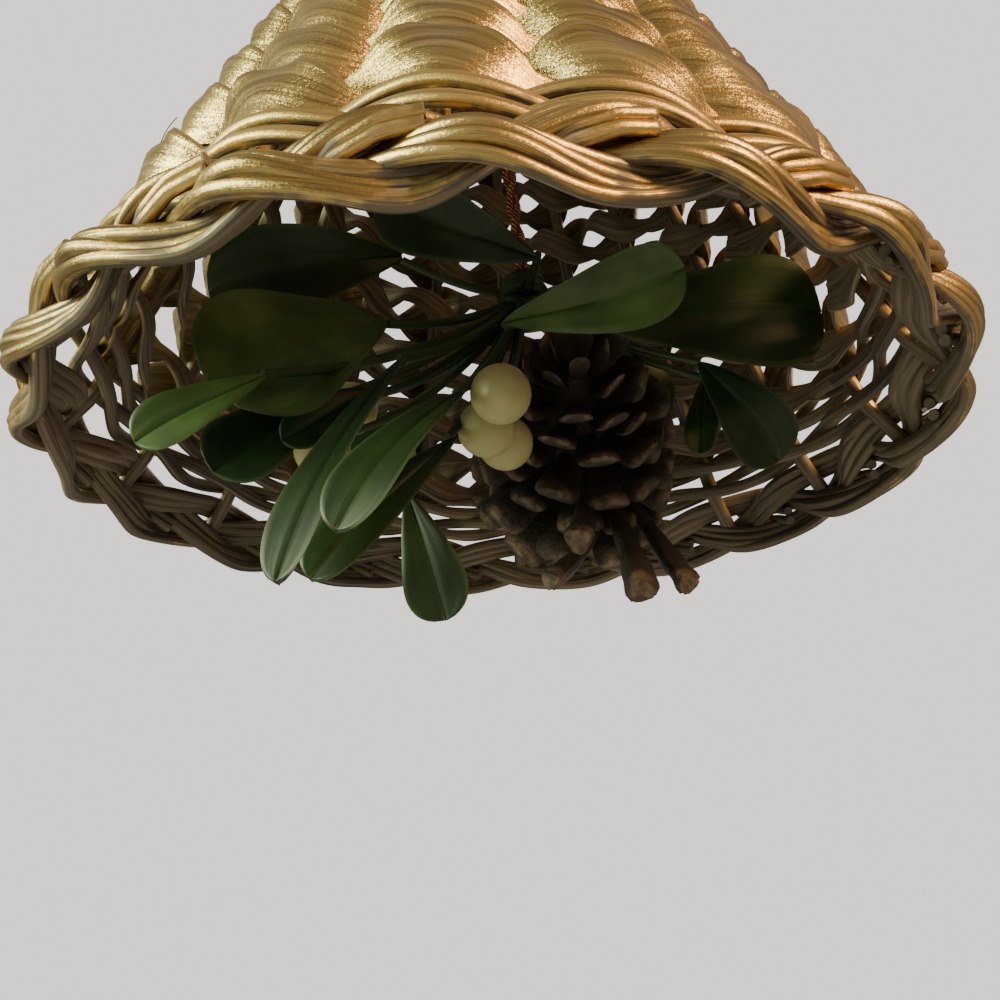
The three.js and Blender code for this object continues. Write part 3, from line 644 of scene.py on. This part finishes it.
def leaf_paint(name, dark, light):
    """Moulded plastic: soft cloudy patches, faint lengthwise veins and a paler thin rim."""
    n = Nodes(name)
    mottle = n.noise(n.place(), 90.0, 3.0, 0.55)
    vein = n.noise(n.run_map(0.02, 1.3), 1.0, 2.0, 0.5)
    tone = n.math("ADD", n.math("MULTIPLY", mottle, 0.9), n.math("MULTIPLY", vein, 0.14))
    tone = n.add("ShaderNodeMapRange", {0: tone, 1: 0.34, 2: 0.68}, clamp=True).outputs[0]
    rim = n.add("ShaderNodeAttribute", attribute_name="paint").outputs["Fac"]
    bump = n.add("ShaderNodeBump", {"Strength": 0.14, "Distance": 0.0004, "Height": vein})
    n.shade(Base_Color=n.mix(rim, n.mix(tone, dark, light), LEAF_EDGE), Roughness=0.44,
            Specular_IOR_Level=0.35, Normal=bump.outputs[0])
    return n.material


leaf_plastic = leaf_paint("leaf_plastic", LEAF_DARK, LEAF_LIGHT)
olive_plastic = leaf_paint("olive_plastic", OLIVE_DARK, OLIVE_LIGHT)


def leaf(base, tip, width, face, arch, seed):
    """Rings of a leaf blade. Along it, the half width grows with the share of the length and
    ends in a round tip, the root of one less the fifth power. Across it, a point is dished by
    the square of its share of the half width, with a narrow groove on the midrib."""
    rng = np.random.default_rng(seed)
    start, end = np.array(base) * SPRAY_REACH, np.array(tip) * SPRAY_REACH
    run = end - start
    length = np.linalg.norm(run)
    across = np.cross(np.array(face, float), run)
    across /= np.linalg.norm(across)
    normal = np.cross(run, across) / length
    along = 1 - (1 - np.linspace(0.0, 0.999, 34)) ** 1.35
    spread = along ** 0.8 * np.sqrt(1 - along ** 5)
    half = width * SPRAY_REACH / 2 * (0.07 + spread / spread.max())
    edge = np.concatenate([np.linspace(-1, 1, 15), np.linspace(1, -1, 15)[1:-1]])
    side = np.concatenate([np.ones(15), -np.ones(13)])
    rim = 1 - np.abs(edge) ** 6
    thick = LEAF_THICKNESS / 2 * (0.25 + 0.75 * rim) * side * (np.abs(edge) < 1)
    groove = -GROOVE_DEPTH * np.exp(-(edge / 0.09) ** 2)
    dish = 0.22 * half[:, None] * edge ** 2
    wave = 0.05 * half[:, None] * np.sin(
        9 * along[:, None] + rng.uniform(0, 6) + 1.5 * edge) * np.abs(edge) ** 2
    lift = 4 * arch * length * (along * (1 - along))[:, None] + dish + wave + thick + groove
    sway = 0.03 * length * np.sin(math.pi * along + rng.uniform(0, 6))[:, None]
    place = (start + run * along[:, None, None]
             + across * (half[:, None] * edge + sway)[..., None] + normal * lift[..., None])
    return place, 0.7 * (np.abs(edge) > 0.93) + 0 * lift


def bent_path(start, end, sag, count=24):
    """A path from one point to another that bows by sag at its middle, as a parabola."""
    t = np.linspace(0, 1, count)[:, None]
    return start + (end - start) * t + 4 * t * (1 - t) * np.array(sag)


stalks = []
for k, (leaf_name, (base, tip, width, face, arch)) in enumerate(LEAVES.items()):
    blade = surface(f"leaf_{leaf_name}", [leaf(base, tip, width, face, arch, 500 + k)])
    plastic = olive_plastic if leaf_name in OLIVE_LEAVES else leaf_plastic
    finish_piece(blade, plastic, "leaf_green", "mistletoe_sprig")
    start = np.array(base) * SPRAY_REACH
    inward = np.array([0.0, 0.0, -STALK_SAG * np.linalg.norm(start - HUB)])
    radius = np.linspace(STALK_THICKNESS / 2, STALK_END_THICKNESS / 2, 24)
    stalks.append((tube(bent_path(HUB, start, inward), radius, 8), 0.3))

# Berries
# Hollow plastic berries of pale ivory with a slight dimple, pushed on the ends of the stalks.
BERRY_DIAMETER = 9.8
BERRY_STALK = 1.4
BERRY_SAG = 0.1
DIMPLE_DEPTH = 0.03
FRONT_CLUSTER = np.array([-0.02, -0.32, -0.02]) * SPRAY_REACH
LEFT_CLUSTER = np.array([-0.42, -0.12, 0.16]) * SPRAY_REACH
BERRIES = [
    FRONT_CLUSTER + np.array([0.26, -0.99, 0.13]) * BERRY_DIAMETER,
    FRONT_CLUSTER,
    FRONT_CLUSTER + np.array([0.32, 1.01, 0.19]) * BERRY_DIAMETER,
    LEFT_CLUSTER + np.array([-0.38, -0.7, -1.14]) * BERRY_DIAMETER,
    LEFT_CLUSTER,
    LEFT_CLUSTER + np.array([0.63, 1.01, -0.57]) * BERRY_DIAMETER,
]
BERRY_COLOUR = (0.38, 0.355, 0.18, 1)
BERRY_DEEP = (0.3, 0.26, 0.09, 1)

n = Nodes("berry_plastic")
cloud = n.noise(n.place(), 260.0, 2.0, 0.5)
n.shade(Base_Color=n.mix(n.blend(cloud, 0.0, 0.6), BERRY_COLOUR, BERRY_DEEP),
        Roughness=0.34, Subsurface_Weight=0.35, Subsurface_Radius=(0.004, 0.003, 0.001),
        Subsurface_Scale=1.0)
berry_plastic = n.material

for k, centre in enumerate(BERRIES):
    stalk_way = (HUB - centre) / np.linalg.norm(HUB - centre)
    polar = np.linspace(0.02, math.pi - 0.02, 28)[:, None]
    dimple = DIMPLE_DEPTH * np.exp(-((math.pi - polar) / 0.16) ** 2)
    radius = BERRY_DIAMETER / 2 * (1 - dimple)
    side = np.cross(stalk_way, (0.0, 1.0, 0.0))
    side /= np.linalg.norm(side)
    other = np.cross(stalk_way, side)
    angle = 2 * math.pi * np.arange(28) / 28
    rings = (centre + (radius * np.cos(polar) * stalk_way)[:, None]
             + (radius * np.sin(polar))[..., None]
             * (np.cos(angle)[:, None] * side + np.sin(angle)[:, None] * other))
    berry = surface(f"ivory_berry_{k + 1}", [(rings, 0.0)])
    finish_piece(berry, berry_plastic, "berry_ivory", f"berry_{k + 1}")
    bend = np.array([0.0, 0.0, -BERRY_SAG * np.linalg.norm(centre - HUB)])
    stalk_path = bent_path(HUB, centre + stalk_way * BERRY_DIAMETER / 2, bend)
    stalks.append((tube(stalk_path, BERRY_STALK / 2, 8), 0.3))

# Stalks and their binding
# The wired stalks meet where green tape is wound round them, under the knot of the cord.
TIE_DIAMETER = 11.0
TAPE_RADIUS = 1.5
wind = np.linspace(0, 2 * math.pi, 200)
dip = 2 * wind + 0.6
ball = np.stack([np.cos(5 * wind) * np.sin(dip), np.sin(5 * wind) * np.sin(dip),
                 np.cos(dip)], axis=-1)
stalks.append((tube(HUB + ball * (TIE_DIAMETER / 2 - 1.4), TAPE_RADIUS, 8), 0.3))
stalk_piece = surface("stalks_and_binding", stalks)
finish_piece(stalk_piece, leaf_plastic, "leaf_green")

# Pine cone
# A dry open cone wired into the spray with its tip towards the front. Its woody scales are set by
# the golden angle and end in a thick blunt shield; four long ones stick out below.
CONE_CENTRE = np.array([16.7, 14.9, 12.5])
CONE_AXIS = np.array([-0.06, -0.96, 0.27])
CONE_LENGTH = 43.0
CONE_DIAMETER = 46.0
CONE_SCALES = 64
LONG_SCALES = [
    ((0, 0.04, -0.13), (-0.06, -0.39, -0.61), 2.9),
    ((0.09, 0.09, -0.13), (0.19, -0.26, -0.79), 3.3),
    ((0.15, 0.09, -0.13), (0.39, -0.17, -0.74), 2.6),
    ((0.13, 0.13, -0.17), (-0.17, -0.26, -0.73), 2.2),
]
CONE_DARK = (0.006, 0.004, 0.003, 1)
CONE_BROWN = (0.036, 0.023, 0.015, 1)
CONE_EDGE = (0.2, 0.135, 0.085, 1)

n = Nodes("cone_wood")
bark = n.noise(n.place(), 700.0, 4.0, 0.65)
patch = n.noise(n.place(), 330.0, 2.0, 0.6)
edge = n.add("ShaderNodeAttribute", attribute_name="paint").outputs["Fac"]
patch = n.add("ShaderNodeMapRange", {0: patch, 1: 0.42, 2: 0.66}, clamp=True).outputs[0]
edge = n.math("MULTIPLY", edge, n.blend(patch, 0.12, 1.0), clamp=True)
colour = n.mix(edge, n.mix(bark, CONE_DARK, CONE_BROWN), CONE_EDGE)
bump = n.add("ShaderNodeBump", {"Strength": 0.9, "Distance": 0.0007, "Height": bark})
n.shade(Base_Color=colour, Roughness=0.68, Normal=bump.outputs[0])
cone_wood = n.material

axis = CONE_AXIS / np.linalg.norm(CONE_AXIS)
cone_side = np.cross(axis, (0.0, 0.0, 1.0))
cone_side /= np.linalg.norm(cone_side)
cone_other = np.cross(axis, cone_side)


def cone_place(x, y, z):
    """A point of the upright cone turned and carried to its place in the spray."""
    return CONE_CENTRE + x[..., None] * cone_side + y[..., None] * cone_other + z[..., None] * axis


runs = []
level = np.linspace(-0.44, 0.5, 20)[:, None] * CONE_LENGTH
core = 0.15 * CONE_DIAMETER * np.sqrt(
    np.clip(1 - ((level / CONE_LENGTH - 0.03) / 0.475) ** 2, 0.001, 1))
angle = 2 * math.pi * np.arange(14) / 14
runs.append((cone_place(core * np.cos(angle), core * np.sin(angle), level + 0 * angle), 0.0))
section = 2 * math.pi * (np.arange(12) + 0.5) / 12
for k in range(CONE_SCALES):
    rng = np.random.default_rng(600 + k)
    height = (k + 0.5) / CONE_SCALES
    around = k * math.pi * (3 - math.sqrt(5)) + rng.uniform(-0.14, 0.14)
    reach = CONE_DIAMETER / 2 * math.sqrt(max(1 - (1.02 * height) ** 2.2, 0.05))
    reach *= rng.uniform(0.84, 1.03)
    root = 0.09 * CONE_DIAMETER * (1 - 0.7 * height)
    root_level = CONE_LENGTH * (0.82 * height - 0.36)
    tip_level = root_level + CONE_LENGTH * (0.26 * height - 0.06 + rng.uniform(-0.035, 0.035))
    out = np.array([0, 0.25, 0.5, 0.7, 0.84, 0.93, 0.98, 1.0])[:, None]
    half = (0.17 * reach + 1.3) * np.array([0.3, 0.45, 0.68, 0.9, 1, 0.96, 0.8, 0.5])[:, None]
    thick = (0.7 + 0.045 * reach) * np.array([0.5, 0.45, 0.45, 0.6, 0.95, 1.15, 1, 0.5])[:, None]
    half = half * (1 + 0.12 * np.sin(section + rng.uniform(0, 6)))
    radial = root + (reach - root) * out
    rise = root_level + (tip_level - root_level) * out ** 1.5
    edge = np.sign(np.cos(section)) * np.abs(np.cos(section)) ** 0.75 * half
    face = np.sin(section) * thick * (1 - 0.25 * np.cos(section) ** 2)
    lean = rng.uniform(-0.3, 0.3) * out
    dish = -0.05 * edge ** 2 * out
    x = (radial + 0 * edge) * math.cos(around) - edge * np.cos(lean) * math.sin(around)
    y = (radial + 0 * edge) * math.sin(around) + edge * np.cos(lean) * math.cos(around)
    pale = np.clip((out - 0.82) * 8, 0, 1) * np.clip(0.55 + 0.6 * np.sin(section), 0, 1)
    runs.append((cone_place(x, y, rise + face + dish + edge * np.sin(lean)), pale))
for k, (root, end, radius) in enumerate(LONG_SCALES):
    rng = np.random.default_rng(700 + k)
    start = CONE_CENTRE + np.array(root) * CONE_DIAMETER
    finish = CONE_CENTRE + np.array(end) * CONE_DIAMETER
    t = np.linspace(0, 1, 40)
    girth = radius * (0.5 + 0.5 * t ** 1.5) * np.clip((1.02 - t) * 16, 0.72, 1)
    girth = girth * (1 + drift(rng, t, (11, 19, 31), 0.07))
    path = bent_path(start, finish, (1.5, 2.5, -1.5), 40)
    rough = 1 + 0.16 * np.cos(3 * section + rng.uniform(0, 6)) * t[:, None]
    rings = tube(path, girth, 12)
    middle = rings.mean(axis=1, keepdims=True)
    rings = middle + (rings - middle) * rough[..., None]
    pale = np.clip((t[:, None] - 0.9) * 9, 0, 0.8) + 0 * section
    runs.append((rings, pale))
pine = surface("pine_cone_scales", runs)
finish_piece(pine, cone_wood, "cone_brown", "pine_cone")

# Loose fibres
# A few hairs of split cane that stand off the strips.
FIBRES = [
    ((68, 196, 3.6), (84, 201, 6.5), (-0.6, 0, 1), 0.12),
    ((30, 222, 4.2), (44, 218, 6), (-0.5, 0, 0.5), 0.1),
    ((22, 338, 4), (38, 343, 7), (2, 0, 1.5), 0.12),
    ((14, 190, -2), (30, 196, -7), (0, 0, 3), 0.16),
]


def wall_spot(distance, degrees, out):
    """One point so far up the wall, round the bell and out from the wall's middle line."""
    return wall_place(np.array(distance, float), math.radians(degrees), out)


hairs = surface("loose_fibres", [
    (tube(bent_path(wall_spot(*a), wall_spot(*b), sag), thickness, 5), 0.1)
    for a, b, sag, thickness in FIBRES])
finish_piece(hairs, bare_cane, "bare_cane")
